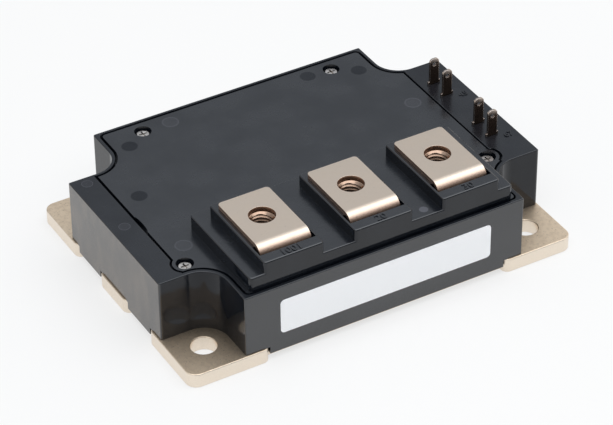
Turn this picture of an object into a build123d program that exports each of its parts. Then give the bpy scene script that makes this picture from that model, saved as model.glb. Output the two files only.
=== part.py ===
from build123d import *
import os

# A flat power module on a plated copper base plate: a moulded housing with a
# notch at each mounting hole, a screwed-down lid with three raised terminal
# blocks, bent terminal bars over trapped hexagon nuts, and four control tabs.
# Millimetres. Origin at the centre of the base plate's underside, +Z up,
# X along the long side, the control tabs at +X and the label at -Y.

# Base plate
base_length = 110.0
base_width = 80.6
base_thick = 4.0
base_overhang = 0.5
base_corner_radius = 3.0
base_edge_chamfer = 0.2
hole_end_margin = 8.0
hole_side_margin = 8.8
mount_hole_diameter = 6.6
mount_hole_chamfer = 0.15

# Edge recesses of the base plate, filled by the skirts of the housing
recess_depth = 1.8
recess_corner_radius = 1.9
corner_lug_length = 20.8
corner_lug_width = 20.5
side_lug_length = 14.6
side_lug_shift = 0.9
long_recess_shift = 0.6
skirt_gap = 0.15
skirt_drop = 2.0

# Housing
housing_height = 21.2
notch_radius = 6.85
housing_wall = 3.2
housing_corner_radius = 0.4
housing_rim_radius = 0.3
seal_wall_inset = 2.1
seal_width = 0.8
seal_thick = 0.5

# Lid and the step that carries it
rim_width = 1.6
groove_width = 0.8
lid_thick = 2.0
lid_corner_radius = 1.0
lid_lip_thick = 2.0
lid_left_margin = 7.6
lid_right_margin = 11.2
pry_slot_length = 6.9
pry_slot_depth = 0.5
pry_slot_shift = -0.65

# Lid screws, each in a counterbore of the lid over a pad and a housing boss
screw_back_margin = 5.2
screw_back_inset = 18.5
screw_left_margin = 9.4
screw_right_margin = 12.9
screw_front_margin = 19.8
screw_ear_radius = 3.1
screw_recess_diameter = 4.5
screw_recess_depth = 1.7
screw_pad_radius = 2.7
screw_pad_thick = 1.2
screw_pad_gap = 0.15
screw_head_diameter = 3.8
screw_head_thick = 0.9
screw_head_chamfer = 0.35
screw_hole_diameter = 2.7
screw_shank_diameter = 2.3
screw_shank_length = 7.5
screw_thread_gap = 0.05
screw_cross_length = 2.2
screw_cross_width = 0.45
screw_cross_depth = 0.55
boss_radius = 2.9
boss_gel_gap = 0.6

# Terminal platform and blocks, raised on the lid
platform_end_margin = 2.45
platform_depth = 30.3
platform_height = 4.0
platform_wall = 2.0
platform_corner_radius = 1.0
block_end_margin = 3.95
block_width = 16.5
block_depth = 27.3
block_height = 7.3
block_corner_radius = 0.8
block_edge_radius = 0.45
column_front_gap = 0.4
column_depth = 21.7
column_drop = 4.4

# Terminal bars, bent from strip
bar_width = 14.2
bar_thick = 1.2
bar_front_margin = 5.5
bar_length = 21.4
bar_bend_radius = 1.8
bar_corner_radius = 1.0
bar_hole_diameter = 6.8
bar_hole_from_front = 11.8
bar_slot_side_gap = 0.6
bar_slot_front_gap = 0.8
bar_slot_back_gap = 0.2
bar_neck_rise = 0.2
bar_foot_length = 9.7
bar_foot_width = 10.0
bar_foot_inset = 2.4

# Trapped nuts
hexagon_sides = 6
nut_across_flats = 10.0
nut_height = 5.0
nut_thread_diameter = 5.0
nut_chamfer = 0.75
nut_play = 0.15
nut_drop = 0.2
bolt_end_diameter = 7.0
bolt_end_depth = 4.6

# Control tabs
tab_end_margin = 6.75
tab_pair_pitch = 6.3
tab_back_share = 0.198
tab_front_share = 0.287
tab_blade_width = 2.8
tab_blade_height = 7.7
tab_thick = 0.6
tab_tip_radius = 1.1
tab_eye_diameter = 1.1
tab_eye_from_tip = 1.7
tab_shoulder_width = 3.65
tab_shoulder_height = 0.8
tab_leg_width = 2.4
tab_slit_gap = 0.1
tab_foot_length = 3.2
shelf_height = 4.6
shelf_depth = 7.4
shelf_margin = 4.0

# Front label
label_length = 60.0
label_height = 9.9
label_thick = 0.12
label_corner_radius = 1.1
label_centre_z = 12.0

# Ceramic substrates with copper on both faces
ceramic_inner_x = 1.0
ceramic_end_margin = 18.2
ceramic_front_margin = 11.3
ceramic_back_margin = 17.8
ceramic_thick = 0.6
foil_thick = 0.3
foil_margin = 0.8
track_gap = 0.7
gate_track_width = 1.4
emitter_track_width = 7.8

# Chips: lengths along X as shares of the collector track, widths and rows
# along Y as shares of the ceramic
chip_thick = 0.4
transistor_length_share = 0.52
transistor_width_share = 0.22
diode_length_share = 0.33
diode_width_share = 0.14
chip_margin_share = 0.03
chip_spacing_share = 0.085
row_shares = {"front": 0.32, "back": 0.61}

# Bond ribbons, drawn as flat strips with a foot at each landing
ribbon_thick = 0.25
ribbon_width = 0.5
ribbon_foot = 1.2
ribbon_rise = 2.2
ribbon_pitch_share = 0.27
ribbon_count = 4
gate_ribbon_rise = 0.7
gate_ribbon_offset = 1.6

# Copper strap that joins the two sides
strap_thick = 0.8
strap_width_share = 0.16
strap_foot = 3.0
strap_rise = 3.4
strap_place_share = 0.86

# Insulated leads from the control tabs to the substrates
lead_diameter = 1.2
lead_bend_radius = 1.5
lead_rise = 3.6

# Gel over the circuit
gel_depth = 5.6

# One overrun for every cut that has to pass a face
overrun = 1.0

# Heights and places worked out from the sizes above
half_length = base_length / 2 - base_overhang
half_width = base_width / 2 - base_overhang
hole_x = half_length - hole_end_margin
hole_y = half_width - hole_side_margin
recess_front_length = 2 * (half_length - corner_lug_length)
recess_side_length = half_width - side_lug_length / 2 - corner_lug_width
lid_bottom = housing_height - lid_thick
lip_bottom = lid_bottom - lid_lip_thick
head_seat = housing_height - screw_recess_depth
pad_bottom = lid_bottom - screw_pad_thick
platform_top = housing_height + platform_height
block_top = housing_height + block_height
gel_top = base_thick + gel_depth
lid_front = rim_width - half_width
lid_left = lid_left_margin - half_length
lid_right = half_length - lid_right_margin
platform_length = 2 * (hole_x - notch_radius - platform_end_margin)
platform_y = lid_front + platform_depth / 2
block_y = lid_front + block_depth / 2
column_front = housing_wall + column_front_gap - half_width
column_y = column_front + column_depth / 2
column_bottom = lid_bottom - column_drop
terminal_pitch = (platform_length - block_width) / 2 - block_end_margin
bar_front = bar_front_margin - half_width
bar_back = bar_front + bar_length
bar_hole_y = bar_front + bar_hole_from_front
bar_foot_end = bar_front + bar_foot_length
bar_top = block_top + bar_thick
ceramic_bottom = base_thick + foil_thick
track_bottom = ceramic_bottom + ceramic_thick
track_top = track_bottom + foil_thick
chip_top = track_top + chip_thick
shelf_top = base_thick + shelf_height
tab_x = half_length - tab_end_margin
ceramic_outer_x = half_length - ceramic_end_margin
ceramic_front_y = ceramic_front_margin - half_width
ceramic_back_y = half_width - ceramic_back_margin
ceramic_depth = ceramic_back_y - ceramic_front_y
ceramic_y = (ceramic_front_y + ceramic_back_y) / 2
terminal_places = {"left": -terminal_pitch, "middle": 0.0, "right": terminal_pitch}
sides = {"left": -1, "right": 1}
screw_back_x = hole_x - screw_back_inset
screw_back_y = half_width - screw_back_margin
screw_front_y = screw_front_margin - half_width
ear_places = [
    (screw_left_margin - half_length, screw_front_y),
    (half_length - screw_right_margin, screw_front_y),
]
screw_places = [(-screw_back_x, screw_back_y), (screw_back_x, screw_back_y)] + ear_places

# The tabs stand between the walls of the two notches at their end, and what
# the two pairs leave free there is shared out behind and in front of them
tab_reach = hole_y - notch_radius - housing_wall
tab_free = 2 * (tab_reach - tab_pair_pitch)
tab_back_y = tab_reach - tab_back_share * tab_free
tab_front_y = tab_front_share * tab_free - tab_reach
tab_places = [
    tab_back_y,
    tab_back_y - tab_pair_pitch,
    tab_front_y + tab_pair_pitch,
    tab_front_y,
]


def notched_outline(inset):
    """The housing's plan, moved in by inset: a rectangle that gives way to a
    round-cornered notch about each mounting hole."""
    reach = notch_radius + inset
    notch_x = half_length - hole_x + reach
    notch_y = half_width - hole_y + reach
    with BuildSketch() as plan:
        Rectangle(2 * (half_length - inset), 2 * (half_width - inset))
        with GridLocations(2 * (hole_x - reach) + notch_x, 2 * (hole_y - reach) + notch_y, 2, 2):
            Rectangle(notch_x, notch_y, mode=Mode.SUBTRACT)
        inner = plan.vertices().filter_by(lambda v: abs(v.X) < hole_x and abs(v.Y) < hole_y)
        fillet(inner, reach)
    return plan.sketch


def lid_outline(grow, ears):
    """The lid's plan, grown by a gap or drawn in by a negative one."""
    with BuildSketch() as plan:
        with Locations(((lid_left + lid_right) / 2, 0)):
            Rectangle(lid_right - lid_left + 2 * grow, 2 * half_width)
        if ears:
            with Locations(ear_places):
                Circle(screw_ear_radius + grow)
        add(notched_outline(rim_width - grow), mode=Mode.INTERSECT)
        if lid_corner_radius + grow > 0:
            corners = plan.vertices().filter_by(lambda v: abs(v.Y) > half_width - hole_side_margin / 2)
            fillet(corners, lid_corner_radius + grow)
    return plan.sketch


def recess_rectangles(grow, reach):
    """Rectangles over the six long recesses in the edge of the base plate, two
    on each end and one along the front and the back. They start as far outside
    the face of the housing as reach says."""
    depth = recess_depth + grow + reach
    side_y = side_lug_length / 2 + recess_side_length / 2
    front_centre = half_width + reach - depth / 2
    side_centre = half_length + reach - depth / 2
    with Locations((long_recess_shift, front_centre), (long_recess_shift, -front_centre)):
        Rectangle(recess_front_length + 2 * grow, depth)
    for end in sides.values():
        for way in (-1, 1):
            with Locations((end * side_centre, side_lug_shift + way * side_y)):
                Rectangle(depth, recess_side_length + 2 * grow)


# Base plate: one plated copper stamping, rounded at its corners and beside
# each recess, with four plain mounting holes
with BuildPart() as base_plate:
    with BuildSketch() as plate_plan:
        RectangleRounded(base_length, base_width, base_corner_radius)
        with BuildSketch(mode=Mode.SUBTRACT):
            recess_rectangles(0, base_overhang)
        lug_corners = plate_plan.vertices().filter_by(
            lambda v: (abs(v.Y) > half_width - recess_depth / 2 and abs(v.X) < hole_x)
            or (abs(v.X) > half_length - recess_depth / 2 and abs(v.Y) < hole_y)
        )
        fillet(lug_corners, recess_corner_radius)
    extrude(amount=base_thick)
    rims = faces().filter_by(Axis.Z)
    chamfer(rims.edges(), base_edge_chamfer)
    with BuildSketch() as mount_holes:
        with GridLocations(2 * hole_x, 2 * hole_y, 2, 2):
            Circle(mount_hole_diameter / 2)
    extrude(amount=base_thick, mode=Mode.SUBTRACT)
    chamfer(edges(Select.LAST).filter_by(GeomType.CIRCLE), mount_hole_chamfer)

# Housing: one moulding, open below over the circuit and above under the lid
with BuildPart() as housing:
    with BuildSketch(Plane.XY.offset(base_thick)):
        add(notched_outline(0))
    extrude(amount=housing_height - base_thick)
    upright = edges().filter_by(Axis.Z)
    outer_corners = upright.filter_by(
        lambda e: abs(e.center().X) > half_length - housing_wall
        or abs(e.center().Y) > half_width - housing_wall
    )
    fillet(outer_corners, housing_corner_radius)
    fillet(faces().sort_by(Axis.Z)[-1].edges(), housing_rim_radius)
    with BuildSketch(Plane.XY.offset(base_thick)):
        recess_rectangles(-skirt_gap, 0)
    extrude(amount=-skirt_drop)
    with BuildSketch(Plane.XY.offset(base_thick)):
        add(notched_outline(housing_wall))
    extrude(amount=lip_bottom - base_thick, mode=Mode.SUBTRACT)
    with BuildSketch(Plane.XY.offset(lip_bottom)):
        add(lid_outline(rim_width - housing_wall, False))
    extrude(amount=housing_height - lip_bottom, mode=Mode.SUBTRACT)
    with BuildSketch(Plane.XY.offset(lid_bottom)):
        add(lid_outline(groove_width, True))
    extrude(amount=lid_thick, mode=Mode.SUBTRACT)
    with BuildSketch(Plane.XY.offset(lid_bottom)):
        with Locations(screw_places):
            Circle(boss_radius)
    extrude(amount=gel_top + boss_gel_gap - lid_bottom)
    with BuildSketch(Plane.XY.offset(lid_bottom)):
        with Locations(screw_places):
            Circle(screw_pad_radius + screw_pad_gap)
    extrude(amount=-screw_pad_thick, mode=Mode.SUBTRACT)
    with BuildSketch(Plane.XY.offset(pad_bottom)):
        with Locations(screw_places):
            Circle(screw_shank_diameter / 2 + screw_thread_gap)
    extrude(amount=head_seat - screw_shank_length - overrun - pad_bottom, mode=Mode.SUBTRACT)
    shelf_length = tab_places[0] - tab_places[-1] + 2 * shelf_margin
    shelf_x = half_length - housing_wall - shelf_depth / 2
    with BuildSketch(Plane.XY.offset(base_thick)):
        with Locations((shelf_x, (tab_places[0] + tab_places[-1]) / 2)):
            Rectangle(shelf_depth, shelf_length)
        add(notched_outline(housing_wall), mode=Mode.INTERSECT)
    extrude(amount=shelf_height)
    with BuildSketch(Plane.XY.offset(lip_bottom)):
        with Locations([(tab_x, place) for place in tab_places]):
            Rectangle(tab_leg_width + 2 * tab_slit_gap, tab_thick + 2 * tab_slit_gap)
    extrude(amount=housing_height - lip_bottom, mode=Mode.SUBTRACT)
    with BuildSketch(Plane.XY.offset(base_thick)):
        add(notched_outline(seal_wall_inset))
        add(notched_outline(seal_wall_inset + seal_width), mode=Mode.SUBTRACT)
    extrude(amount=seal_thick, mode=Mode.SUBTRACT)

# Adhesive bead in the groove under the housing wall
with BuildPart() as case_seal:
    with BuildSketch(Plane.XY.offset(base_thick)):
        add(notched_outline(seal_wall_inset))
        add(notched_outline(seal_wall_inset + seal_width), mode=Mode.SUBTRACT)
    extrude(amount=seal_thick)

# Lid: a flat plate with a hollow platform and three solid terminal columns,
# each with a hexagon pocket for its nut and a slot for its bar
with BuildPart() as lid:
    with BuildSketch(Plane.XY.offset(lid_bottom)):
        add(lid_outline(0, True))
        with Locations((lid_left, pry_slot_shift)):
            Ellipse(pry_slot_depth, pry_slot_length / 2, mode=Mode.SUBTRACT)
    extrude(amount=lid_thick)
    with BuildSketch(Plane.XY.offset(lid_bottom)):
        with Locations(screw_places):
            Circle(screw_pad_radius)
    extrude(amount=-screw_pad_thick)
    with BuildSketch(Plane.XY.offset(lid_bottom)):
        with Locations((0, platform_y)):
            RectangleRounded(platform_length, platform_depth, platform_corner_radius)
    extrude(amount=platform_top - lid_bottom)
    fillet(faces().sort_by(Axis.Z)[-1].edges(), block_edge_radius)
    with BuildSketch(Plane.XY.offset(lid_bottom)):
        with Locations([(place, block_y) for place in terminal_places.values()]):
            RectangleRounded(block_width, block_depth, block_corner_radius)
    extrude(amount=block_top - lid_bottom)
    fillet(faces().group_by(Axis.Z)[-1].edges(), block_edge_radius)
    with BuildSketch(Plane.XY.offset(lid_bottom)):
        with Locations((0, platform_y)):
            Rectangle(platform_length - 2 * platform_wall, platform_depth - 2 * platform_wall)
    extrude(amount=platform_height + lid_thick - platform_wall, mode=Mode.SUBTRACT)
    with BuildSketch(Plane.XY.offset(column_bottom)):
        with Locations([(place, column_y) for place in terminal_places.values()]):
            Rectangle(block_width, column_depth)
    extrude(amount=platform_top - column_bottom - platform_wall / 2)
    pocket_depth = nut_height + nut_drop
    with BuildSketch(Plane.XY.offset(block_top)):
        with Locations([(place, bar_hole_y) for place in terminal_places.values()]):
            RegularPolygon(nut_across_flats / 2 + nut_play, hexagon_sides, major_radius=False)
    extrude(amount=-pocket_depth, mode=Mode.SUBTRACT)
    with BuildSketch(Plane.XY.offset(block_top - pocket_depth)):
        with Locations([(place, bar_hole_y) for place in terminal_places.values()]):
            Circle(bolt_end_diameter / 2)
    extrude(amount=-bolt_end_depth, mode=Mode.SUBTRACT)
    slot_width = bar_width + 2 * bar_slot_side_gap
    slot_depth = bar_slot_front_gap + bar_thick + bar_slot_back_gap
    slot_y = bar_front - bar_slot_front_gap + slot_depth / 2
    with BuildSketch(Plane.XY.offset(block_top)):
        with Locations([(place, slot_y) for place in terminal_places.values()]):
            Rectangle(slot_width, slot_depth)
    extrude(amount=column_bottom - block_top, mode=Mode.SUBTRACT)
    bend_y = bar_front + bar_thick + bar_bend_radius / 2
    with BuildSketch(Plane.XY.offset(block_top)):
        with Locations([(place, bend_y) for place in terminal_places.values()]):
            Rectangle(slot_width, bar_bend_radius)
    extrude(amount=-bar_bend_radius, mode=Mode.SUBTRACT)
    with BuildSketch(Plane.XY.offset(housing_height)):
        with Locations(screw_places):
            Circle(screw_recess_diameter / 2)
    extrude(amount=-screw_recess_depth, mode=Mode.SUBTRACT)
    with BuildSketch(Plane.XY.offset(housing_height)):
        with Locations(screw_places):
            Circle(screw_hole_diameter / 2)
    extrude(amount=pad_bottom - housing_height, mode=Mode.SUBTRACT)

# Lid screws: rounded heads with a cross recess, driven into the bosses
with BuildPart() as lid_screws:
    head_top = head_seat + screw_head_thick
    with BuildSketch(Plane.XY.offset(head_seat)):
        with Locations(screw_places):
            Circle(screw_head_diameter / 2)
    extrude(amount=screw_head_thick)
    chamfer(edges().group_by(Axis.Z)[-1], screw_head_chamfer)
    with BuildSketch(Plane.XY.offset(head_top)):
        with Locations(screw_places):
            Rectangle(screw_cross_length, screw_cross_width)
            Rectangle(screw_cross_width, screw_cross_length)
    extrude(amount=-screw_cross_depth, mode=Mode.SUBTRACT)
    with BuildSketch(Plane.XY.offset(head_seat)):
        with Locations(screw_places):
            Circle(screw_shank_diameter / 2)
    extrude(amount=-screw_shank_length)

# Nuts: three plain hexagon nuts, held loosely under the bars
with BuildPart() as terminal_nuts:
    nut_bottom = block_top - pocket_depth
    with BuildSketch(Plane.XY.offset(nut_bottom)):
        with Locations([(place, bar_hole_y) for place in terminal_places.values()]):
            RegularPolygon(nut_across_flats / 2, hexagon_sides, major_radius=False)
            Circle(nut_thread_diameter / 2, mode=Mode.SUBTRACT)
    extrude(amount=nut_height)
    mouths = edges().filter_by(GeomType.CIRCLE)
    chamfer(mouths, nut_chamfer)


def terminal_bar(place, foot_left, foot_right):
    """A bar bent from strip: the tapped-over tab on the block, the leg down
    through the slot, and a narrower foot that reaches back onto its track."""
    outer = bar_bend_radius + bar_thick
    with BuildPart() as bar:
        with BuildSketch(Plane.YZ.offset(place - bar_width / 2)):
            with BuildLine():
                outside = FilletPolyline(
                    (bar_back, bar_top),
                    (bar_front, bar_top),
                    (bar_front, track_top),
                    (bar_foot_end, track_top),
                    radius=outer,
                )
                inside = FilletPolyline(
                    (bar_back, bar_top - bar_thick),
                    (bar_front + bar_thick, bar_top - bar_thick),
                    (bar_front + bar_thick, track_top + bar_thick),
                    (bar_foot_end, track_top + bar_thick),
                    radius=bar_bend_radius,
                )
                Line(outside @ 0, inside @ 0)
                Line(outside @ 1, inside @ 1)
            make_face()
        extrude(amount=bar_width)
        back_corners = edges().filter_by(Axis.Z).filter_by(
            lambda e: abs(e.center().Y - bar_back) < bar_corner_radius
        )
        fillet(back_corners, bar_corner_radius)
        with BuildSketch(Plane.XY.offset(bar_top)):
            with Locations((place, bar_hole_y)):
                Circle(bar_hole_diameter / 2)
        extrude(amount=-bar_thick, mode=Mode.SUBTRACT)
        reach = bar_foot_end - bar_front
        trims = ((place - bar_width / 2, foot_left), (foot_right, place + bar_width / 2))
        for low, high in trims:
            if high > low:
                with BuildSketch(Plane.XY.offset(track_top)):
                    with Locations(((low + high) / 2, bar_front + reach / 2)):
                        Rectangle(high - low, reach)
                extrude(amount=column_bottom + bar_neck_rise - track_top, mode=Mode.SUBTRACT)
    return bar.part


def control_tab(place):
    """A push-on tab stamped from strip: rounded tip with an eye, shoulders on
    the deck, and a leg that ends in a foot on the shelf inside."""
    deck = housing_height
    tip = deck + tab_blade_height
    shoulder_top = deck + tab_shoulder_height
    with BuildPart() as tab:
        with BuildSketch(Plane.XZ.offset(-place - tab_thick / 2)):
            with Locations((tab_x, (deck + tip) / 2)):
                Rectangle(tab_blade_width, tab_blade_height)
            fillet(vertices().group_by(Axis.Y)[-1], tab_tip_radius)
            with Locations((tab_x, (deck + shoulder_top) / 2)):
                Rectangle(tab_shoulder_width, tab_shoulder_height)
            with Locations((tab_x, (deck + shelf_top) / 2)):
                Rectangle(tab_leg_width, deck - shelf_top)
            with Locations((tab_x, tip - tab_eye_from_tip)):
                Circle(tab_eye_diameter / 2, mode=Mode.SUBTRACT)
        extrude(amount=tab_thick)
        with BuildSketch(Plane.XY.offset(shelf_top)):
            with Locations((tab_x, place - tab_foot_length / 2)):
                Rectangle(tab_leg_width, tab_foot_length)
        extrude(amount=tab_thick)
    return tab.part


def substrate_plate(side, z, thick, margin):
    """A plate of one substrate, drawn in by margin on every side."""
    with BuildPart() as plate:
        with BuildSketch(Plane.XY.offset(z)):
            width = ceramic_outer_x - ceramic_inner_x
            with Locations((side * (ceramic_inner_x + width / 2), ceramic_y)):
                Rectangle(width - 2 * margin, ceramic_depth - 2 * margin)
        extrude(amount=thick)
    return plate.part


def track(side, inner, outer):
    """A copper track on the substrate between two distances from the middle."""
    with BuildPart() as strip:
        with BuildSketch(Plane.XY.offset(track_bottom)):
            with Locations((side * (inner + outer) / 2, ceramic_y)):
                Rectangle(outer - inner, ceramic_depth - 2 * foil_margin)
        extrude(amount=foil_thick)
    return strip.part


def chip(x, y, length, width):
    """A chip soldered on its track."""
    with BuildPart() as die:
        with BuildSketch(Plane.XY.offset(track_top)):
            with Locations((x, y)):
                Rectangle(length, width)
        extrude(amount=chip_thick)
    return die.part


def ribbon(y, width, thick, foot, rise, landings):
    """A strip that lands flat on each (x, z) and bridges over between them."""
    way = 1 if landings[-1][0] > landings[0][0] else -1
    toe = way * foot / 2
    top = []
    for x, z in landings:
        top.append((x - toe, z + thick))
        top.append((x + toe, z + thick))
    for step, (here, there) in reversed(list(enumerate(zip(landings, landings[1:]), start=1))):
        run = (there[0] - here[0]) / 2 - toe
        crest_z = max(here[1], there[1]) + rise
        shoulders = [(x, crest_z) for x in (here[0] + toe + run / 2, there[0] - toe - run / 2)]
        top[2 * step:2 * step] = shoulders
    under = [(x, z - thick) for x, z in reversed(top)]
    with BuildPart() as strip:
        with BuildSketch(Plane.XZ.offset(-y - width / 2)):
            with BuildLine():
                Polyline(*top, *under, close=True)
            make_face()
        extrude(amount=width)
    return strip.part


def lead(start, end, height):
    """An insulated round lead: up from one joint, across, and down to the
    other, with a round bend at each corner."""
    points = [start, (start[0], start[1], height), (end[0], end[1], height), end]
    with BuildPart() as wire:
        with BuildLine():
            FilletPolyline(*points, radius=lead_bend_radius)
        with BuildSketch(Plane(origin=start, z_dir=(0, 0, 1))):
            Circle(lead_diameter / 2)
        sweep()
    return wire.part


pieces = {
    "base_plate": base_plate.part,
    "housing": housing.part,
    "case_seal": case_seal.part,
    "lid": lid.part,
    "lid_screws": lid_screws.part,
    "terminal_nuts": terminal_nuts.part,
}

# Terminal bars: each foot lands on its own track
emitter_inner = ceramic_inner_x + foil_margin
emitter_outer = emitter_inner + emitter_track_width
gate_outer = ceramic_outer_x - foil_margin
gate_inner = gate_outer - gate_track_width
sense_outer = gate_inner - track_gap
sense_inner = sense_outer - gate_track_width
collector_inner = emitter_outer + track_gap
collector_outer = sense_inner - track_gap
foot_spans = {
    "left": (-terminal_pitch - bar_foot_width / 2, -terminal_pitch + bar_foot_width / 2),
    "middle": (-bar_width / 2, -bar_foot_inset),
    "right": (terminal_pitch - bar_foot_width / 2, terminal_pitch + bar_foot_width / 2),
}
for name, place in terminal_places.items():
    pieces["terminal_" + name] = terminal_bar(place, *foot_spans[name])

for number, place in enumerate(tab_places, start=1):
    pieces[f"control_tab_{number}"] = control_tab(place)

# Substrates, tracks, chips and bond ribbons, one set to each side
collector_width = collector_outer - collector_inner
transistor_length = transistor_length_share * collector_width
transistor_width = transistor_width_share * ceramic_depth
diode_length = diode_length_share * collector_width
diode_width = diode_width_share * ceramic_depth
chip_reach = chip_margin_share * collector_width + transistor_length / 2
transistor_x = collector_outer - chip_reach
chip_step = chip_spacing_share * collector_width + (transistor_length + diode_length) / 2
diode_x = transistor_x - chip_step
emitter_x = (emitter_inner + emitter_outer) / 2
gate_x = (gate_inner + gate_outer) / 2
sense_x = (sense_inner + sense_outer) / 2
for side_name, side in sides.items():
    pieces["bottom_foil_" + side_name] = substrate_plate(side, base_thick, foil_thick, foil_margin)
    pieces["ceramic_" + side_name] = substrate_plate(side, ceramic_bottom, ceramic_thick, 0)
    pieces["emitter_track_" + side_name] = track(side, emitter_inner, emitter_outer)
    pieces["collector_track_" + side_name] = track(side, collector_inner, collector_outer)
    pieces["sense_track_" + side_name] = track(side, sense_inner, sense_outer)
    pieces["gate_track_" + side_name] = track(side, gate_inner, gate_outer)
    ribbons = []
    gate_ribbons = []
    for row_name, row_share in row_shares.items():
        row_y = ceramic_front_y + row_share * ceramic_depth
        tag = side_name + "_" + row_name
        pieces["transistor_chip_" + tag] = chip(
            side * transistor_x, row_y, transistor_length, transistor_width
        )
        pieces["diode_chip_" + tag] = chip(side * diode_x, row_y, diode_length, diode_width)
        for step in range(ribbon_count):
            y = row_y + ribbon_pitch_share * diode_width * (step - (ribbon_count - 1) / 2)
            landings = [
                (side * transistor_x, chip_top),
                (side * diode_x, chip_top),
                (side * emitter_x, track_top),
            ]
            ribbons.append(ribbon(y, ribbon_width, ribbon_thick, ribbon_foot, ribbon_rise, landings))
        chip_edge = transistor_x + transistor_length / 2 - ribbon_foot
        for way, far in ((1, gate_x), (-1, sense_x)):
            landings = [(side * chip_edge, chip_top), (side * far, track_top)]
            y = row_y + way * gate_ribbon_offset
            gate_ribbons.append(
                ribbon(y, ribbon_width, ribbon_thick, ribbon_foot, gate_ribbon_rise, landings)
            )
    pieces["power_ribbons_" + side_name] = Part() + ribbons
    pieces["gate_ribbons_" + side_name] = Part() + gate_ribbons

# Strap from the right emitter track over to the left collector track
pieces["bridge_strap"] = ribbon(
    ceramic_front_y + strap_place_share * ceramic_depth,
    strap_width_share * ceramic_depth,
    strap_thick,
    strap_foot,
    strap_rise,
    [(emitter_x, track_top), (-collector_inner - strap_foot, track_top)],
)

# Leads from the back pair of tabs to the left side, front pair to the right
foot_top = shelf_top + tab_thick
lead_ends = [-gate_x, -sense_x, gate_x, sense_x]
for number, (end_x, place) in enumerate(zip(lead_ends, tab_places), start=1):
    joint_y = place + lead_diameter / 2 - tab_foot_length
    start = (tab_x, joint_y, foot_top)
    end = (end_x, joint_y, track_top)
    pieces[f"control_lead_{number}"] = lead(start, end, foot_top + lead_rise)

# Front label
with BuildPart() as label:
    with BuildSketch(Plane.XZ.offset(half_width)):
        with Locations((0, label_centre_z)):
            RectangleRounded(label_length, label_height, label_corner_radius)
    extrude(amount=label_thick)
pieces["label"] = label.part

# Gel: fills the floor of the housing around all that stands in it
with BuildPart() as gel_fill:
    with BuildSketch(Plane.XY.offset(base_thick)):
        add(notched_outline(housing_wall))
    extrude(amount=gel_depth)
    for name, piece in pieces.items():
        add(piece, mode=Mode.SUBTRACT)
pieces["gel_fill"] = gel_fill.part

os.makedirs("parts", exist_ok=True)
for name, piece in pieces.items():
    piece.label = name
    export_step(piece, f"parts/{name}.step")
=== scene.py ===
# %% [markdown]
# A transistor power module: looks for a finished solid model
#
# The real object is a switch for heavy currents. Silicon chips sit in soft gel
# under a black moulded case, on a thick plated metal base that carries their
# heat away. Three plated bars come up through the lid and fold over captive
# nuts, four small upright tabs take the control signals, and four quarter-round
# cut-outs leave the corners of the base free for mounting bolts.
#
# The solid model already fixes the size of every part, so none is measured here.
# The work is to turn its faceted meshes into shapes with soft moulded edges,
# to give each material its own surface, and to light it as in a small studio.

import math

import bmesh
import bpy
from mathutils import Matrix, Vector


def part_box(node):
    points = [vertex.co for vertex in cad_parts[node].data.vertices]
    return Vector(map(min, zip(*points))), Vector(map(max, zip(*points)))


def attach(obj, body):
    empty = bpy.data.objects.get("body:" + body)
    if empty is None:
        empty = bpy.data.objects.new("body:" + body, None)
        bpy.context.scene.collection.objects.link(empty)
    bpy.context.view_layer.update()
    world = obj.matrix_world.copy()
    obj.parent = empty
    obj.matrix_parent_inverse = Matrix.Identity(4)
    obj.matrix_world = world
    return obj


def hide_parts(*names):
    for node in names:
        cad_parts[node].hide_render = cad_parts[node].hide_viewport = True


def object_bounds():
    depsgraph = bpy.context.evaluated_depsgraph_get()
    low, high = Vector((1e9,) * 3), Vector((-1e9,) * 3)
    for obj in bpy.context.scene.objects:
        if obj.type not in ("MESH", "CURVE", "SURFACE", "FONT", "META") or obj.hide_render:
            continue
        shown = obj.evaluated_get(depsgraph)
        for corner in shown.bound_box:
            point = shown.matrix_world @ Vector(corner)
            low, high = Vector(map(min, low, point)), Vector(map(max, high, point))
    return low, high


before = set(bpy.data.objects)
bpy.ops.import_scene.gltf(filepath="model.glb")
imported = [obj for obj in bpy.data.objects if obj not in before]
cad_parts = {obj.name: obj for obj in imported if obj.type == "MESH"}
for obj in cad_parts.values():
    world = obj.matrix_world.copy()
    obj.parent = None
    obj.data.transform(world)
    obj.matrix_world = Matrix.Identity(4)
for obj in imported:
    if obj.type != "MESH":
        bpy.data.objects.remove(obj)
cad_low, cad_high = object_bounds()
mm = 0.001
print("solid model, mm:", [round(side / mm, 2) for side in cad_high - cad_low])

# %% [markdown]
# Shader maths that reads like maths
#
# A surface that varies needs many small Math nodes, and wiring each by hand
# hides the idea. One class can stand for the output of a node: adding or
# multiplying two of them adds the node that does so. The second class is a
# material while it is being made. It has one way to add any node, and every
# finish below is written with it.

# %% A node's output as a number
class Wire:
    """The output of a node, used in sums as if it were a number."""

    def __init__(self, recipe, socket):
        self.recipe = recipe
        self.socket = socket

    def maths(self, operation, first, second):
        return self.recipe.node("Math", {"operation": operation}, {0: first, 1: second})

    def __add__(self, other):
        return self.maths("ADD", self, other)

    def __radd__(self, other):
        return self.maths("ADD", other, self)

    def __sub__(self, other):
        return self.maths("SUBTRACT", self, other)

    def __rsub__(self, other):
        return self.maths("SUBTRACT", other, self)

    def __mul__(self, other):
        return self.maths("MULTIPLY", self, other)

    def __rmul__(self, other):
        return self.maths("MULTIPLY", other, self)


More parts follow.
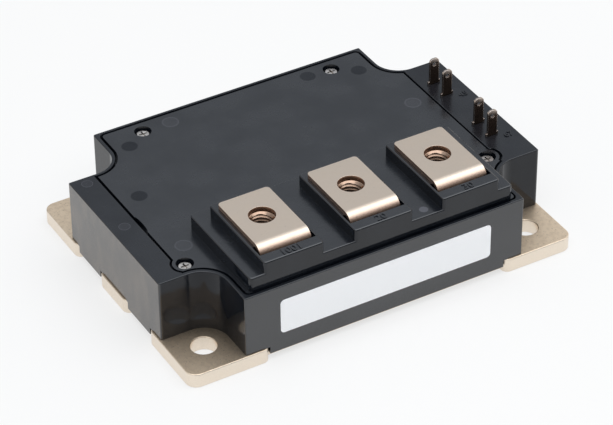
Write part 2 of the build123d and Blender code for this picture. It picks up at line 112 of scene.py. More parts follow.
# %% A material while it is being made
class Recipe:
    """A new material, or another thing with nodes, and what it is made of."""

    def __init__(self, name, kept_in=bpy.data.materials):
        self.thing = kept_in.new(name)
        self.thing.use_nodes = True
        self.tree = self.thing.node_tree
        self.tree.nodes.clear()

    def node(self, kind, settings=None, inputs=None, out=0):
        """Add a node: its settings first, then its sockets. Gives one output."""
        made = self.tree.nodes.new("ShaderNode" + kind)
        for name, value in (settings or {}).items():
            setattr(made, name, value)
        for key, value in (inputs or {}).items():
            if isinstance(value, Wire):
                self.tree.links.new(value.socket, made.inputs[key])
            else:
                made.inputs[key].default_value = value
        return Wire(self, made.outputs[out])

    def clamped(self, value):
        return self.node("Clamp", None, {"Value": value})

    def fade(self, value, start, end):
        """Go smoothly from 0 to 1 as the value goes from start to end."""
        limits = {0: value, 1: start, 2: end, 3: 0.0, 4: 1.0}
        return self.node("MapRange", {"interpolation_type": "SMOOTHSTEP"}, limits)

    def blend(self, share, first, second):
        """Mix two colours: the first at share 0, the second at share 1."""
        return self.node("Mix", {"data_type": "RGBA"}, {0: share, 6: first, 7: second}, out=2)

    def vector(self, operation, first, second, out=0):
        return self.node("VectorMath", {"operation": operation}, {0: first, 1: second}, out=out)

    def part_of(self, spot, axis):
        """The X, Y or Z of a place or a direction."""
        return self.node("SeparateXYZ", None, {0: spot}, out=axis)

    def place(self, stretch=(1.0, 1.0, 1.0)):
        """Where a point lies on the module, in millimetres."""
        spot = self.node("TexCoord", None, None, out="Object")
        return self.vector("MULTIPLY", spot, tuple(part / mm for part in stretch))

    def cloud(self, scale, detail=3.0, stretch=(1.0, 1.0, 1.0), roughness=0.5):
        """Soft noise from 0 to 1, with so many waves to a millimetre."""
        inputs = {"Scale": scale, "Detail": detail, "Roughness": roughness}
        return self.node("TexNoise", None, {"Vector": self.place(stretch), **inputs})

    def finish(self, shader, kind="OutputMaterial"):
        end = self.tree.nodes.new("ShaderNode" + kind)
        self.tree.links.new(shader.socket, end.inputs["Surface"])
        print("finish:", self.thing.name, len(self.tree.nodes), "nodes")
        return self.thing


# %% [markdown]
# Specks, edges and flat faces
#
# Three things come back in nearly every finish. Specks are dust or pits: a
# Voronoi pattern gives each cell a point and a random colour, and keeping only
# the cells with a high random value scatters them unevenly. An edge is where
# the surface's direction differs from the same direction smoothed by a Bevel
# node. A face that looks along an axis is found from its normal.

# %% Helpers for specks, edges and faces
upward = (0.0, 0.0, 1.0)
leftward = (-1.0, 0.0, 0.0)


def specks(recipe, cell, radius, kept):
    """Dots of about this radius, one to a cell of this size in the share kept."""
    away = recipe.node("TexVoronoi", None, {"Vector": recipe.place(), "Scale": 1 / cell})
    chance = Wire(recipe, away.socket.node.outputs["Color"])
    lot = recipe.node("SeparateColor", None, {0: chance})
    size = radius / cell
    dot = recipe.fade(away, size, 0.4 * size)
    return dot * recipe.fade(lot, 1 - kept, 1 - 0.6 * kept)


def edges_of(recipe, radius):
    """1 along edges of the piece and 0 on its faces."""
    soft = recipe.node("Bevel", {"samples": 6}, {"Radius": radius * mm})
    true = recipe.node("NewGeometry", None, None, out="Normal")
    straight = recipe.vector("DOT_PRODUCT", soft, true, out="Value")
    return recipe.fade(straight, 0.995, 0.9)


def facing(recipe, axis):
    """How far a face looks along an axis: 1 along it, 0 across, -1 away."""
    normal = recipe.node("NewGeometry", None, None, out="Normal")
    return recipe.vector("DOT_PRODUCT", normal, axis, out="Value")


def bumps(recipe, height, strength, depth):
    """A normal that is tilted by a height, with the relief's depth in mm."""
    inputs = {"Strength": strength, "Distance": depth * mm, "Height": height}
    return recipe.node("Bump", None, inputs)


def opaque(colour, share=1.0):
    """A colour with its alpha of 1, and darker where the share is below 1."""
    return (*(share * part for part in colour), 1.0)


# %% [markdown]
# The moulded case plastic
#
# The housing and lid are a black glass-filled plastic. Up close it is never
# one flat black: the skin is slightly wavy from the mould, has a fine grain,
# catches pale dust, and the round feet of the mould's push-out pins leave
# faint discs and rings. Painting those as a picture would need an image, so
# they are worked out from the distance to each pin's centre instead.

# %% Places and radii of the push-out pin marks, in millimetres
case_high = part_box("housing")[1]
lid_low, lid_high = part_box("lid")
deck_top = case_high.z
half_length = case_high.x / mm
half_width = case_high.y / mm
disc_radius = 2.2
ring_radius = 1.5
discs = [(side * 34.0, half_width - 9.4, disc_radius) for side in (-1, 1)]
discs += [(-41.8, 10.1, disc_radius), (21.0, half_width - 5.0, disc_radius)]
rings = [(38.2, 10.1, disc_radius), (-20.0, half_width - 5.2, disc_radius)]
rings += [(-42.0, -13.6, disc_radius)]
rings += [(-50.8, 0.6, ring_radius), (-50.6, 21.3, ring_radius)]
pale_marks = [(12.9, -35.5, 1.2)]
print("pin marks:", len(discs), "discs and", len(rings), "rings")

# %% Marks and faces of the case, as masks from 0 to 1
mask_starts = 0.8
mask_full = 0.2


def pin_marks(recipe, marks, start, end):
    """On level faces, 1 within start radii of a mark's centre and 0 from end radii."""
    found = 0.0
    for x, y, radius in marks:
        flat = recipe.vector("MULTIPLY", recipe.place(), (1.0, 1.0, 0.0))
        away = recipe.vector("DISTANCE", flat, (x, y, 0.0), out="Value")
        found = found + recipe.fade(away * (1 / radius), end, start)
    return recipe.clamped(found * recipe.fade(facing(recipe, upward), 0.9, 0.97))


def outer_faces(recipe):
    """The two end faces of the case, and its front and back."""
    found = []
    for axis, half in (("X", half_length), ("Y", half_width)):
        reach = recipe.part_of(recipe.place(), axis)
        start, end = half - mask_starts, half - mask_full
        found.append(recipe.fade(reach * reach, start**2, end**2))
    return found


# %% [markdown]
# Black plastic with two skins
#
# A moulded face is glossy where the tool was polished and duller where it was
# blasted. One Principled shader can't be both, because its reflection at a low
# angle follows from one refractive index. Two are mixed instead: a bright skin
# and a dull one, with a mask that says where the dull one shows. The end face
# on the left also gets a warm, paler colour in soft streaks: a painted
# reflection of the pale room on that side.

# %% The case plastic
mould_black = (0.0035, 0.0050, 0.0085, 1.0)
mould_grey = (0.0085, 0.0105, 0.0145, 1.0)
rubbed_grey = (0.06, 0.06, 0.062, 1.0)
dust_grey = (0.17, 0.17, 0.17, 1.0)
# The colour of a painted reflection, warm and pale, on the left end face.
left_face_painted_sheen = (0.080, 0.063, 0.049, 1.0)
pale_grey = (0.075, 0.075, 0.09, 1.0)
bright_index = 1.8
rubbed_share = 0.3
dust_share = 0.5
least_left_sheen = 0.4
skin_rough = 0.045
flat_rough = 0.12


def case_plastic(name, *, dull_top, dull_walls, dull_index):
    """Black plastic, with how dull its tops and its walls inside the outline are."""
    recipe = Recipe(name)
    drift = recipe.cloud(0.09, 4.0)
    streaks = recipe.cloud(0.5, 4.0, (1.0, 1.0, 0.22))
    grain = recipe.cloud(5.0, 3.0)
    dust = recipe.clamped(specks(recipe, 3.1, 0.14, 0.3) + specks(recipe, 1.3, 0.07, 0.25))
    rubbed = edges_of(recipe, 0.35) * recipe.fade(recipe.cloud(1.1, 2.0), 0.35, 0.7)
    disc = pin_marks(recipe, discs, 0.92, 1.0)
    ring = pin_marks(recipe, rings, 0.98, 1.04) - 0.7 * pin_marks(recipe, rings, 0.82, 0.92)
    pale = recipe.clamped(0.45 * ring + 0.9 * pin_marks(recipe, pale_marks, 0.85, 1.05))
    ends, sides = outer_faces(recipe)
    clouds = recipe.fade(recipe.cloud(0.22, 3.0, (1.0, 1.0, 0.45)), 0.35, 0.65)
    left_face = ends * recipe.fade(facing(recipe, leftward), 0.7, 0.95)
    flat = recipe.fade(facing(recipe, upward), 0.5, 0.9)
    walls = (1.0 - flat) * (1.0 - recipe.clamped(ends + sides))

    colour = recipe.blend(recipe.fade(drift, 0.3, 0.7), mould_black, mould_grey)
    colour = recipe.blend(rubbed * rubbed_share, colour, rubbed_grey)
    colour = recipe.blend(dust * dust_share, colour, dust_grey)
    # Painted reflection: the left end face is made warmer and paler, in soft streaks.
    left_sheen = left_face * (least_left_sheen + (1 - least_left_sheen) * clouds)
    colour = recipe.blend(left_sheen, colour, left_face_painted_sheen)
    colour = recipe.blend(pale, colour, pale_grey)
    rough = skin_rough + 0.06 * streaks + 0.02 * grain
    rough = rough + flat * (flat_rough + 0.08 * recipe.fade(drift, 0.35, 0.65))
    height = 0.35 * grain + 1.5 * recipe.cloud(0.6, 2.0)
    height = height - 0.9 * disc - 0.7 * ring + 0.5 * dust
    surface = {
        "Base Color": colour,
        "Roughness": rough,
        "Normal": bumps(recipe, height, 0.4, 0.03),
    }
    skins = [
        recipe.node("BsdfPrincipled", None, {**surface, "IOR": index})
        for index in (bright_index, dull_index)
    ]
    dull_share = recipe.clamped(disc * 0.75 + flat * dull_top + walls * dull_walls)
    return recipe.finish(recipe.node("MixShader", None, {0: dull_share, 1: skins[0], 2: skins[1]}))


housing_plastic = case_plastic("housing_plastic", dull_top=0.4, dull_walls=0.8, dull_index=1.28)
lid_plastic = case_plastic("lid_plastic", dull_top=0.0, dull_walls=0.75, dull_index=1.35)

# %% [markdown]
# Bare and plated metals
#
# All metal parts share one recipe with different numbers. The colour of a
# metal is the colour of its reflection, so a warm nickel plate is a pale
# champagne with Metallic at 1. What tells a rolled and plated sheet from a
# mirror is its roughness: fine pits, cloudy stains and scratches that run one
# way. Where a sheet was punched after plating, the copper below shows on the
# cut face. Faces that turn away from up take the same cut colour, which also
# paints shade on the lower part of a bend, and paints light on the sides of the
# base, whose cut colour is pale. A painted highlight runs along the edges, and
# the hollows that an Ambient Occlusion node finds get a painted shade.

# %% One recipe for the metals
pit_size = 0.32
pit_strength = 0.45
pit_dark = 0.45
shade_darkness = 0.12


def metal(
    name,
    colour,
    stain,
    rough,
    *,
    stain_share=0.5,
    cloud_scale=0.35,
    scratch=(1.0, 1.0, 1.0),
    pit_cell=0.6,
    pit_share=0.5,
    edge=(1.0, 1.0, 1.0),
    highlight_share=0.4,
    edge_width=0.25,
    lit_tip=None,
    hollow_shade=None,
    cut=None,
    cut_share=1.0,
    cut_dark=0.6,
    cut_rough=0.08,
    depth=0.012,
):
    """A metal with stains, pits and scratches, a painted highlight along its edges and painted
    shade in its hollows.

    lit_tip: two heights in mm, between which the whole surface grows bright, a painted highlight.
    hollow_shade: how dark the painted shade in hollows gets, and how far it looks for walls, in
    mm.
    cut: the colour of faces that turn away from up: the copper of punched faces, painted shade on
    the lower part of a bend, and painted light on the base's sides.
    """
    recipe = Recipe(name)
    cloudy = recipe.fade(recipe.cloud(cloud_scale, 5.0, roughness=0.6), 0.38, 0.68)
    brushed = recipe.cloud(6.0, 3.0, scratch)
    pits = specks(recipe, pit_cell, pit_size * pit_cell, pit_share)
    # Painted highlight: a mask along the edges, made lighter in the edge colour below.
    painted_highlight = edges_of(recipe, edge_width)
    # Painted highlight: the top of the piece, between the two heights, also grows bright.
    if lit_tip:
        height = recipe.part_of(recipe.place(), "Z")
        painted_highlight = recipe.clamped(painted_highlight + 0.6 * recipe.fade(height, *lit_tip))
    tint = recipe.blend(cloudy * stain_share, opaque(colour), opaque(stain))
    tint = recipe.blend(pits * pit_strength, tint, opaque(stain, pit_dark))
    tint = recipe.blend(painted_highlight * highlight_share, tint, opaque(edge))
    # Painted shade: the hollows that the Ambient Occlusion node finds are darkened.
    if hollow_shade:
        share, reach = hollow_shade
        inputs = {"Distance": reach * mm}
        open_sky = recipe.node("AmbientOcclusion", {"samples": 8}, inputs, out="AO")
        painted_shade = recipe.fade(open_sky, 0.75, 0.25) * share
        tint = recipe.blend(painted_shade, tint, opaque(stain, shade_darkness))
    rough_now = rough + 0.04 * cloudy + 0.05 * brushed + 0.08 * pits
    # Faces that turn away from up take the cut colour: real copper on punched faces, and also
    # painted shade on the lower part of a bend and painted light on the sides of the base.
    if cut:
        top = facing(recipe, upward)
        side = recipe.fade(top * top, 0.88, 0.3) * cut_share
        grooves = recipe.fade(brushed, 0.35, 0.65)
        cut_and_painted_side = recipe.blend(grooves, opaque(cut), opaque(cut, cut_dark))
        tint = recipe.blend(side, tint, cut_and_painted_side)
        rough_now = rough_now + cut_rough * side
    relief = brushed - 0.8 * pits + 0.4 * cloudy
    surface = {
        "Base Color": tint,
        "Metallic": 1.0,
        "Roughness": recipe.clamped(rough_now),
        "Normal": bumps(recipe, relief, 0.5, depth),
    }
    return recipe.finish(recipe.node("BsdfPrincipled", None, surface))


# %% The plated base and bars
# The colour of a painted highlight along the edges of the plated base and bars.
edge_highlight_colour = (0.93, 0.86, 0.77)
base_plating = metal(
    "base_plating",
    colour=(0.88, 0.715, 0.53),
    stain=(0.64, 0.50, 0.36),
    rough=0.42,
    cloud_scale=0.8,
    edge=edge_highlight_colour,
    highlight_share=0.25,
    # Painted shade: the plate darkens near the housing's walls.
    hollow_shade=(0.6, 8.0),
    # A pale cut colour: painted light on the sides of the base.
    cut=(0.88, 0.78, 0.66),
    cut_dark=0.93,
    cut_rough=-0.15,
    depth=0.025,
)
bar_plating = metal(
    "bar_plating",
    colour=(0.85, 0.715, 0.585),
    stain=(0.78, 0.64, 0.51),
    rough=0.3,
    stain_share=0.3,
    scratch=(1.0, 0.12, 1.0),
    pit_cell=0.5,
    pit_share=0.03,
    edge=edge_highlight_colour,
    highlight_share=0.3,
    # Painted shade in the bar's hole and on the lower part of its bend.
    hollow_shade=(0.7, 7.0),
    # Copper on the punched faces, and painted shade on the lower part of each bend.
    cut=(0.62, 0.43, 0.33),
    cut_share=0.9,
    depth=0.005,
)

# %% Tabs, screws, nuts and the metals inside
tab_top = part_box("control_tab_1")[1].z / mm
tab_plating = metal(
    "tab_plating",
    colour=(0.12, 0.082, 0.062),
    stain=(0.05, 0.036, 0.030),
    rough=0.2,
    scratch=(1.0, 1.0, 0.15),
    pit_share=0.3,
    edge=(0.92, 0.80, 0.71),
    highlight_share=0.8,
    edge_width=0.35,
    # Painted highlight: the tab's top and its edges are made bright.
    lit_tip=(tab_top - 1.5, tab_top - 0.2),
)
screw_plating = metal(
    "screw_plating",
    colour=(0.84, 0.79, 0.74),
    stain=(0.55, 0.50, 0.46),
    rough=0.2,
    edge=(1.0, 0.97, 0.93),
    # Painted shade in the screw's cross recess.
    hollow_shade=(0.95, 0.7),
)
nut_metal = metal(
    "nut_metal",
    colour=(0.72, 0.50, 0.37),
    stain=(0.50, 0.31, 0.21),
    rough=0.13,
    stain_share=0.3,
    pit_share=0.1,
    edge=(0.90, 0.74, 0.60),
    highlight_share=0.3,
    edge_width=0.1,
    # Painted shade: the thread darkens deeper in the bore.
    hollow_shade=(0.97, 8.0),
    depth=0.004,
)
track_copper = metal("track_copper", (0.72, 0.40, 0.26), (0.50, 0.27, 0.18), 0.3)
ribbon_metal = metal(
    "ribbon_metal", (0.86, 0.87, 0.88), (0.70, 0.71, 0.72), 0.25, scratch=(0.2, 1.0, 1.0)
)
chip_face = metal("chip_face", (0.34, 0.35, 0.39), (0.22, 0.23, 0.28), 0.16, depth=0.004)

# %% [markdown]
# Paper, ceramic, rubber and gel
#
# The label is white coated paper with a soft satin sheen and a barely visible
# fibre. The parts inside the case are hidden, but they belong to the model and
# show when someone takes the lid off, so each has its own simple finish: a
# milky ceramic, silicone in the joint, dark sleeves on the leads, and a gel
# that lets some of what lies below it show through.

# %% One recipe for everything that isn't metal
cloud_share = 0.35
dot_share = 0.3


def matt(name, colour, other, rough, *, scale=0.8, depth=0.02, coat=0.0, solid=1.0):
    """A plain surface with clouds and dots of another colour, and a fine fibre."""
    recipe = Recipe(name)
    cloudy = recipe.fade(recipe.cloud(scale, 4.0), 0.35, 0.7)
    fibre = recipe.cloud(6.0, 4.0, (1.0, 0.4, 1.0))
    dots = specks(recipe, 1.4, 0.1, 0.2)
    tint = recipe.blend(cloudy * cloud_share, opaque(colour), opaque(other))
    tint = recipe.blend(dots * dot_share, tint, opaque(other))
    surface = {
        "Base Color": tint,
        "Roughness": recipe.clamped(rough + 0.1 * cloudy + 0.08 * fibre),
        "Coat Weight": coat,
        "Alpha": solid,
        "Normal": bumps(recipe, fibre + 0.5 * cloudy, 0.4, depth),
    }
    return recipe.finish(recipe.node("BsdfPrincipled", None, surface))


label_paper = matt(
    "label_paper",
    (0.985, 0.99, 1.0),
    (0.96, 0.965, 0.98),
    0.42,
    scale=0.25,
    depth=0.006,
    coat=0.15,
)
milky_ceramic = matt("milky_ceramic", (0.80, 0.79, 0.75), (0.70, 0.68, 0.63), 0.45)
joint_silicone = matt("joint_silicone", (0.55, 0.55, 0.54), (0.42, 0.42, 0.41), 0.5)
lead_sleeve = matt("lead_sleeve", (0.03, 0.03, 0.035), (0.06, 0.06, 0.065), 0.45)
soft_gel = matt(
    "soft_gel", (0.72, 0.76, 0.74), (0.60, 0.66, 0.64), 0.08, depth=0.05, coat=0.4, solid=0.35
)

# %% [markdown]
# Finishes for the parts that keep their solid model's mesh
#
# Parts inside the case never show their edges to a camera, so their meshes
# stay as they are. A loop over the beginnings of their names hands each the
# right finish.

# %% Dress the inner parts
inner_finishes = {
    "bottom_foil": track_copper,
    "emitter_track": track_copper,
    "collector_track": track_copper,
    "sense_track": track_copper,
    "gate_track": track_copper,
    "bridge_strap": track_copper,
    "ceramic": milky_ceramic,
    "transistor_chip": chip_face,
    "diode_chip": chip_face,
    "power_ribbons": ribbon_metal,
    "gate_ribbons": ribbon_metal,
    "control_lead": lead_sleeve,
    "case_seal": joint_silicone,
    "gel_fill": soft_gel,
}
dressed = 0
for node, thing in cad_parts.items():
    for start, material in inner_finishes.items():
        if node.startswith(start):
            thing.data.materials.clear()
            thing.data.materials.append(material)
            dressed += 1
print("inner parts dressed:", dressed)

# %% [markdown]
# Soft edges on the moulded and punched parts
#
# No real edge is perfectly sharp, and the thin bright line along it is what
# the eye reads as solid. The solid model's mesh can't be edited, so a visible
# part gets a new mesh made from it: doubled points are welded, triangles that
# lie in one plane become one face, and every edge that turns more than a set
# angle gets a narrow round. Curved walls turn less than that from facet to
# facet, so they stay whole and are shaded smooth.

# %% From a shape to a piece in the scene
weld = 0.004 * mm
flat_angle = math.radians(0.6)
sharp_angle = math.radians(32.0)


def welded_copy(node):
    """An editable copy of a node's mesh, with its doubled points made one."""
    shape = bmesh.new()
    shape.from_mesh(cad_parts[node].data)
    bmesh.ops.remove_doubles(shape, verts=shape.verts, dist=weld)
    return shape


def smooth_mesh(name, shape, material):
    """A smoothly shaded mesh of the shape, which is given up for it."""
    bmesh.ops.recalc_face_normals(shape, faces=shape.faces)
    mesh = bpy.data.meshes.new(name)
    shape.to_mesh(mesh)
    shape.free()
    mesh.shade_smooth()
    mesh.materials.append(material)
    return mesh


def placed(name, data):
    """An object that shows a mesh, a lamp or a camera, put into the scene."""
    thing = bpy.data.objects.new(name, data)
    bpy.context.collection.objects.link(thing)
    return thing


# %% Make rounded copies of the visible parts
def rounded_copy(node, name, material, width):
    """A new piece with the node's shape and edges rounded by this width in mm."""
    shape = welded_copy(node)
    points, lines = shape.verts, shape.edges
    bmesh.ops.dissolve_limit(
        shape, angle_limit=flat_angle, verts=points, edges=lines, delimit={"NORMAL"}
    )
    mesh = smooth_mesh(name, shape, material)
    piece = placed(name, mesh)
    soften = piece.modifiers.new("soft edges", "BEVEL")
    soften.width = width * mm
    soften.segments = 2
    soften.limit_method = "ANGLE"
    soften.angle_limit = sharp_angle
    soften.use_clamp_overlap = True
    even = piece.modifiers.new("even shading", "WEIGHTED_NORMAL")
    even.keep_sharp = False
    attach(piece, "root")
    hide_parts(node)
    print(name, "faces:", len(mesh.polygons))


rounded_copy("base_plate", "plated_base", base_plating, 0.1)
rounded_copy("housing", "moulded_housing", housing_plastic, 0.15)
rounded_copy("lid", "moulded_lid", lid_plastic, 0.18)
rounded_copy("lid_screws", "cover_screws", screw_plating, 0.06)
rounded_copy("label", "blank_label", label_paper, 0.03)
for side in ("left", "middle", "right"):
    rounded_copy("terminal_" + side, "bar_" + side, bar_plating, 0.08)
for number in range(1, 5):
    tab = f"control_tab_{number}"
    rounded_copy(tab, f"upright_tab_{number}", tab_plating, 0.06)

# %% [markdown]
# A sealing lip along the rim
#
# The gap round the lid isn't an open trench: a thin soft lip runs along the
# inner side of the rim, and only a fine dark line is left beside the lid. Its
# path is already in the housing's mesh, as the edges where the flat rim turns
# straight down. Each of these edges gets a short length of a rounded profile,
# so the lip follows the notches and screw ears without a drawn path. The tabs'
# slots are left out by how far to the right an edge lies. That also leaves out
# five millimetres at the screw ear beside them, where the lip has open ends.
# The lid is pushed to the front when its screws go in, so the gap is widest at
# the back.

# %% Find the rim's inner edge
slot_reach = 3.0
tab_middles = [sum(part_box(f"control_tab_{number}"), Vector()) / 2 for number in range(1, 5)]


def beside_tab(edge):
    """Whether an edge lies as far to the right as the control tabs and their slots."""
    x = edge.verts[0].co.x
    return any(abs(x - middle.x) < slot_reach * mm for middle in tab_middles)


def rim_corners(shape):
    """Each point of the rim's inner edge with the ways into the gap, and the edges."""
    ways = {}
    rim = []
    for edge in shape.edges:
        lowest = min(point.co.z for point in edge.verts)
        if len(edge.link_faces) != 2 or lowest < deck_top - weld:
            continue
        flat, wall = sorted(edge.link_faces, key=lambda face: -face.normal.z)
        if flat.normal.z < 0.99 or abs(wall.normal.z) > 0.1 or beside_tab(edge):
            continue
        rim.append(edge)
        for point in edge.verts:
            ways.setdefault(point, []).append(wall.normal.copy())
    return ways, rim


# %% Build the lip
lip_profile = [
    (-0.05, -0.03),
    (0.16, -0.03),
    (0.29, -0.09),
    (0.35, -0.22),
    (0.35, -0.9),
    (-0.05, -0.9),
]
lip_back_share = 0.3
lip_front_y = -25.0
least_cosine = 0.5
crease_angle = math.radians(50.0)


def open_edges(shape):
    return sum(1 for edge in shape.edges if len(edge.link_faces) != 2)


def lip_row(shape, corner, normals):
    """The profile's points at one corner of the rim, mitred between its walls."""
    way = sum(normals, Vector()).normalized()
    way = way / max(least_cosine, way.dot(normals[0]))
    ahead = min(1.0, max(0.0, corner.y / (lip_front_y * mm)))
    way = way * (lip_back_share + (1 - lip_back_share) * ahead)
    return [
        shape.verts.new(corner + way * out * mm + Vector((0.0, 0.0, rise * mm)))
        for out, rise in lip_profile
    ]


def sealing_lip():
    source = welded_copy("housing")
    ways, rim = rim_corners(source)
    shape = bmesh.new()
    rows = {point: lip_row(shape, point.co, normals) for point, normals in ways.items()}
    for edge in rim:
        first, last = (rows[point] for point in edge.verts)
        for step in range(len(lip_profile)):
            after = (step + 1) % len(lip_profile)
            shape.faces.new((first[step], last[step], last[after], first[after]))
    source.free()
    print("sealing lip:", len(rim), "lengths, open edges:", open_edges(shape))
    mesh = smooth_mesh("sealing_lip", shape, housing_plastic)
    mesh.set_sharp_from_angle(angle=crease_angle)
    return placed("sealing_lip", mesh)


lip = sealing_lip()
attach(lip, "root")

# %% [markdown]
# Nuts with a real thread
#
# Through the hole in each bar the turns of a thread catch the light in bright
# and dark rings. The solid model has a plain bore there. A thread could be cut
# with a boolean, but a simpler way is to lay out the whole nut as rings of
# points: up the hexagon outside, over the chamfer and down the bore, where the
# radius of each point rises and falls with its height and its angle, so that
# the crests climb one pitch in each turn.

# %% The nut's sizes, and how a point is placed
nut_low, nut_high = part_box("terminal_nuts")
nut_half = (nut_high.y - nut_low.y) / 2
nut_y = (nut_high.y + nut_low.y) / 2
nut_corner = nut_half / math.cos(math.pi / 6)
nut_spacing = (nut_high.x - nut_low.x) / 2 - nut_corner
crest_radius = 2.5 * mm
root_radius = 3.0 * mm
mouth_radius = 3.25 * mm
mouth_depth = 0.75 * mm
pitch = 1.0 * mm
corner_cut = 0.35 * mm
ring_points = 60
rows_per_turn = 12
print("nut spacing, mm:", round(nut_spacing / mm, 2))


def add_point(shape, centre, angle, radius, level):
    x = centre.x + radius * math.cos(angle)
    y = centre.y + radius * math.sin(angle)
    return shape.verts.new((x, y, centre.z + level))


# %% The thread in the bore
flank_slope = 1.35
crest_width = 0.15


def bore_radius(level, turn, height):
    """A thread's flanks, with flat crests and roots, opened by a cone at each end."""
    flank = min(1.0, max(0.0, flank_slope * abs(2 * turn - 1) - crest_width))
    cone = max(0.0, 1 - min(level, height - level) / mouth_depth)
    cut = crest_radius + (root_radius - crest_radius) * flank
    return max(cut, crest_radius + (mouth_radius - crest_radius) * cone)


def add_bore(shape, centre, height):
    """The thread as one ribbon that winds up the bore and is cut off at both ends."""
    turns = math.ceil(height / pitch) + 1
    grid = {}
    for step in range(turns * ring_points + 1):
        angle = 2 * math.pi * step / ring_points
        for row in range(rows_per_turn):
            turn = row / rows_per_turn
            level = pitch * (step / ring_points - 1 + turn)
            level = min(max(level, 0.0), height)
            radius = bore_radius(level, turn, height)
            grid[step, row] = add_point(shape, centre, angle, radius, level)
    for step, row in list(grid):
        ends = []
        for across in (step, step + 1):
            last_row = row + 1 == rows_per_turn
            higher = (across + ring_points, 0) if last_row else (across, row + 1)
            ends.append((grid.get((across, row)), grid.get(higher)))
        corners = [ends[0][0], ends[1][0], ends[1][1], ends[0][1]]
        if None not in corners:
            shape.faces.new(corners)


# %% The hexagon outside
face_share = 1.02


def hexagon_radius(angle):
    """Distance from the centre to the side of the hexagon in this direction."""
    sixth = math.pi / 3
    return nut_half / math.cos((angle + sixth / 2) % sixth - sixth / 2)


def add_outside(shape, centre, height):
    """The hexagon with its corners cut, closed in to the mouths of the bore."""
    profile = [
        lambda angle: (mouth_radius, 0.0),
        lambda angle: (min(hexagon_radius(angle), nut_half * face_share), 0.0),
        lambda angle: (hexagon_radius(angle), corner_cut),
        lambda angle: (hexagon_radius(angle), height - corner_cut),
        lambda angle: (min(hexagon_radius(angle), nut_half * face_share), height),
        lambda angle: (mouth_radius, height),
    ]
    angles = [2 * math.pi * step / ring_points for step in range(ring_points)]
    grid = [
        [add_point(shape, centre, angle, *ring(angle)) for angle in angles] for ring in profile
    ]
    for lower, upper in zip(grid, grid[1:]):
        for step in range(ring_points):
            after = (step + 1) % ring_points
            shape.faces.new((lower[step], lower[after], upper[after], upper[step]))


# %% Build the nuts
join_gap = 0.002 * mm
shortest_edge = 0.0005 * mm


def nut_shape(name, centres, height):
    shape = bmesh.new()
    for centre in centres:
        add_bore(shape, centre, height)
        add_outside(shape, centre, height)
    bmesh.ops.remove_doubles(shape, verts=shape.verts, dist=join_gap)
    bmesh.ops.dissolve_degenerate(shape, edges=shape.edges, dist=shortest_edge)
    print(name, "faces:", len(shape.faces), "open edges:", open_edges(shape))
    mesh = smooth_mesh(name, shape, nut_metal)
    mesh.set_sharp_from_angle(angle=crease_angle)
    return placed(name, mesh)


nut_centres = [Vector((side * nut_spacing, nut_y, nut_low.z)) for side in (-1, 0, 1)]
nuts = nut_shape("threaded_nuts", nut_centres, nut_high.z - nut_low.z)
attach(nuts, "root")
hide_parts("terminal_nuts")

# %% [markdown]
# Raised numbers beside the connections
#
# Small numbers are moulded in front of each bar and beside each pair of tabs,
# so that a fitter can tell the connections apart. A text object can be turned
# into a mesh and sunk a little into the face that carries it, so that no gap
# shows under it. A digit fills only a share of its font's size, so the size is
# the wanted height over that share.

# %% Add the numbers
number_rise = 0.2 * mm
number_sink = 0.05 * mm
number_round = 0.04 * mm
digit_share = 0.69
bar_number_height = 2.1
tab_number_height = 1.8
tab_number_aside = 2.0 * mm
tab_number_ahead = 1.2 * mm
bar_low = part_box("terminal_middle")[0]
slot_gap = 0.8 * mm
strip_y = (bar_low.y - slot_gap + lid_low.y) / 2
print("strip in front of the bars, mm:", round((bar_low.y - slot_gap - lid_low.y) / mm, 2))


def raised_number(text, x, y, ground, height, material):
    """Digits so many mm high, on a face whose level is ground."""
    curve = bpy.data.curves.new("number_" + text, "FONT")
    curve.body = text
    curve.size = height * mm / digit_share
    curve.extrude = (number_rise + number_sink) / 2
    curve.bevel_depth = number_round
    curve.align_x = "CENTER"
    curve.align_y = "CENTER"
    source = bpy.data.objects.new("number_source_" + text, curve)
    mesh = bpy.data.meshes.new_from_object(source)
    bpy.data.objects.remove(source)
    mesh.transform(Matrix.Translation((x, y, ground + (number_rise - number_sink) / 2)))
    mesh.materials.clear()
    mesh.materials.append(material)
    piece = placed("number_" + text, mesh)
    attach(piece, "root")
    print("number", text, "at", round(x / mm, 1), round(y / mm, 1))


for text, nut_x in zip(("1001", "20", "30"), (-nut_spacing, 0.0, nut_spacing)):
    raised_number(text, nut_x, strip_y, lid_high.z, bar_number_height, lid_plastic)
for text, tab in (("45", 2), ("67", 4)):
    tab_low, tab_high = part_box(f"control_tab_{tab}")
    x, y = tab_high.x + tab_number_aside, tab_low.y + tab_number_ahead
    raised_number(text, x, y, deck_top, tab_number_height, housing_plastic)

# %% [markdown]
# A pale table
#
# A product picture like this is made on a white sheet. The sheet has to look
# white and still take the object's soft shadow, so its material is part
# diffuse and part glow. Only the camera, and mirrors and glass, see the glow.
# To all other light the sheet is plain matt paper, so the glow lights nothing.

# %% The floor
paper_plain = (0.95, 0.945, 0.925, 1.0)
paper_pale = (0.955, 0.95, 0.935, 1.0)
glow_white = (0.957, 0.957, 0.955, 1.0)
glow_share = 0.7
table_half = 3.0


def shown(recipe):
    """1 for what the camera sees, straight or in a reflection, and 0 for light."""
    direct = recipe.node("LightPath", None, None, out="Is Camera Ray")
    mirrored = recipe.node("LightPath", None, None, out="Is Glossy Ray")
    through = recipe.node("LightPath", None, None, out="Is Transmission Ray")
    return recipe.clamped(direct + mirrored + through)


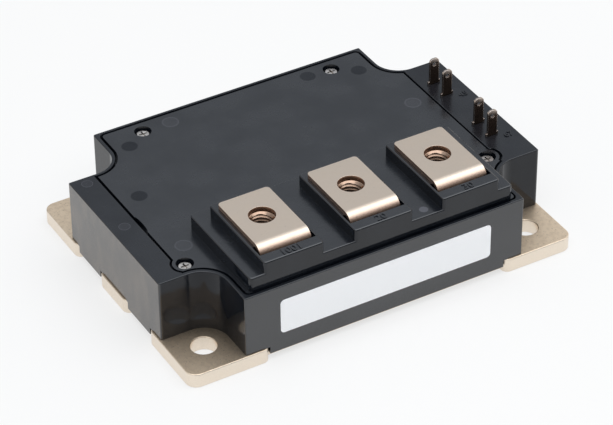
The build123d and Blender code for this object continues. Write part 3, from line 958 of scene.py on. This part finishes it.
def floor_finish():
    recipe = Recipe("white_sheet")
    fine = recipe.cloud(0.02, 2.0)
    colour = recipe.blend(fine, paper_plain, paper_pale)
    paper = recipe.node("BsdfDiffuse", None, {"Color": colour})
    glow = recipe.node("Emission", None, {"Color": glow_white, "Strength": 1.0})
    share = shown(recipe) * glow_share
    return recipe.finish(recipe.node("MixShader", None, {0: share, 1: paper, 2: glow}))


floor_mesh = bpy.data.meshes.new("table")
floor_sides = ((-1, -1), (1, -1), (1, 1), (-1, 1))
floor_corners = [(x * table_half, y * table_half, 0.0) for x, y in floor_sides]
floor_mesh.from_pydata(floor_corners, [], [(0, 1, 2, 3)])
floor_mesh.materials.append(floor_finish())
floor = placed("table", floor_mesh)

# %% [markdown]
# A large soft lamp in a half dark room
#
# Black plastic shows little of its own colour and mostly mirrors what is
# around it, so the room does as much as the lamp. A wide lamp overhead, a bit
# to the front, makes the soft shadow and the bright line along each bend. The
# room is pale above and at the sides, and dark low in front, which is what
# keeps the front face black. The direction of each ray tells which part of the
# room it meets. The camera itself sees a plain white behind the table.

# %% The lamp
middle = (cad_low + cad_high) / 2
lamp_way = Vector((0.14, -0.30, 0.93)).normalized()
lamp_away = 0.7
lamp_wide = 1.5
lamp_deep = 0.75
lamp_level = 1.0
lamp_data = bpy.data.lights.new("softbox", "AREA")
lamp_data.shape = "RECTANGLE"
lamp_data.size = lamp_wide
lamp_data.size_y = lamp_deep
lamp_data.energy = math.pi * lamp_wide * lamp_deep * lamp_level
lamp = placed("softbox", lamp_data)
lamp_side = Vector((lamp_way.z, 0.0, -lamp_way.x)).normalized()
lamp_turn = Matrix((lamp_side, lamp_way.cross(lamp_side), lamp_way)).transposed()
lamp.matrix_world = Matrix.Translation(middle + lamp_way * lamp_away) @ lamp_turn.to_4x4()
print("lamp", round(lamp_data.energy, 2), "W at", [round(part, 2) for part in lamp.location])

# %% The room
cool_light = (0.90, 0.955, 1.03, 1.0)
warm_light = (1.0, 0.935, 0.865, 1.0)
seen_white = (0.985, 0.985, 0.99, 1.0)
room_level = 0.39
ceiling_gain = 0.36
side_gain = 0.5
front_loss = 0.36
halo_gain = 0.3
room = Recipe("room", bpy.data.worlds)
way = room.node("TexCoord", None, None, out="Generated")
aside, ahead, above = (room.part_of(way, axis) for axis in "XYZ")
beside = room.fade(aside * aside, 0.3, 0.5) * room.fade(above, 0.48, 0.38)
shade = room.fade(ahead, 0.15, -0.25) * room.fade(above, 0.68, 0.58) * (1.0 - beside)
halo = room.fade(room.vector("DOT_PRODUCT", way, tuple(lamp_way), out="Value"), 0.5, 0.95)
wall = room_level + ceiling_gain * room.fade(above, 0.52, 0.68) + side_gain * beside
wall = wall - front_loss * shade + halo_gain * halo
seen = room.node("LightPath", None, None, out="Is Camera Ray")
light = room.blend(beside, cool_light, warm_light)
inputs = {"Color": room.blend(seen, light, seen_white), "Strength": wall + seen * (1.0 - wall)}
bpy.context.scene.world = room.finish(room.node("Background", None, inputs), "OutputWorld")

# %% [markdown]
# The camera
#
# The picture was taken from the front left, about 36 degrees above the table,
# with a long lens, so that parallel edges stay nearly parallel. The camera is
# placed by turn, height and distance round a point near the middle, and it is
# tilted by a fraction of a degree, as a camera held on a stand often is.

# %% Place the camera
turned = math.radians(-29.776)
raised = math.radians(36.425)
tilted = math.radians(-0.635)
camera_away = 727.84 * mm
aim = Vector((-3.41, -6.41, 12.0)) * mm
out_along = math.cos(raised)
toward = Vector((math.sin(turned) * out_along, -math.cos(turned) * out_along, math.sin(raised)))
level_right = Vector((math.cos(turned), math.sin(turned), 0.0))
level_up = toward.cross(level_right)
right = math.cos(tilted) * level_right + math.sin(tilted) * level_up
up = math.cos(tilted) * level_up - math.sin(tilted) * level_right
camera_data = bpy.data.cameras.new("camera")
camera_data.sensor_fit = "HORIZONTAL"
camera_data.sensor_width = 36.0
camera_data.lens = 169.84
camera_data.clip_start = 0.05
camera = placed("camera", camera_data)
camera_turn = Matrix((right, up, toward)).transposed()
camera.matrix_world = Matrix.Translation(aim + toward * camera_away) @ camera_turn.to_4x4()
bpy.context.scene.camera = camera
bpy.context.scene.view_settings.view_transform = "Standard"
print("camera at", [round(part, 3) for part in camera.location])

# %% [markdown]
# Hand over
# The end
# At the end the view layer is brought up to date. Blender adds looks to the
# solid model and never size.

# %% Finish
bpy.context.view_layer.update()
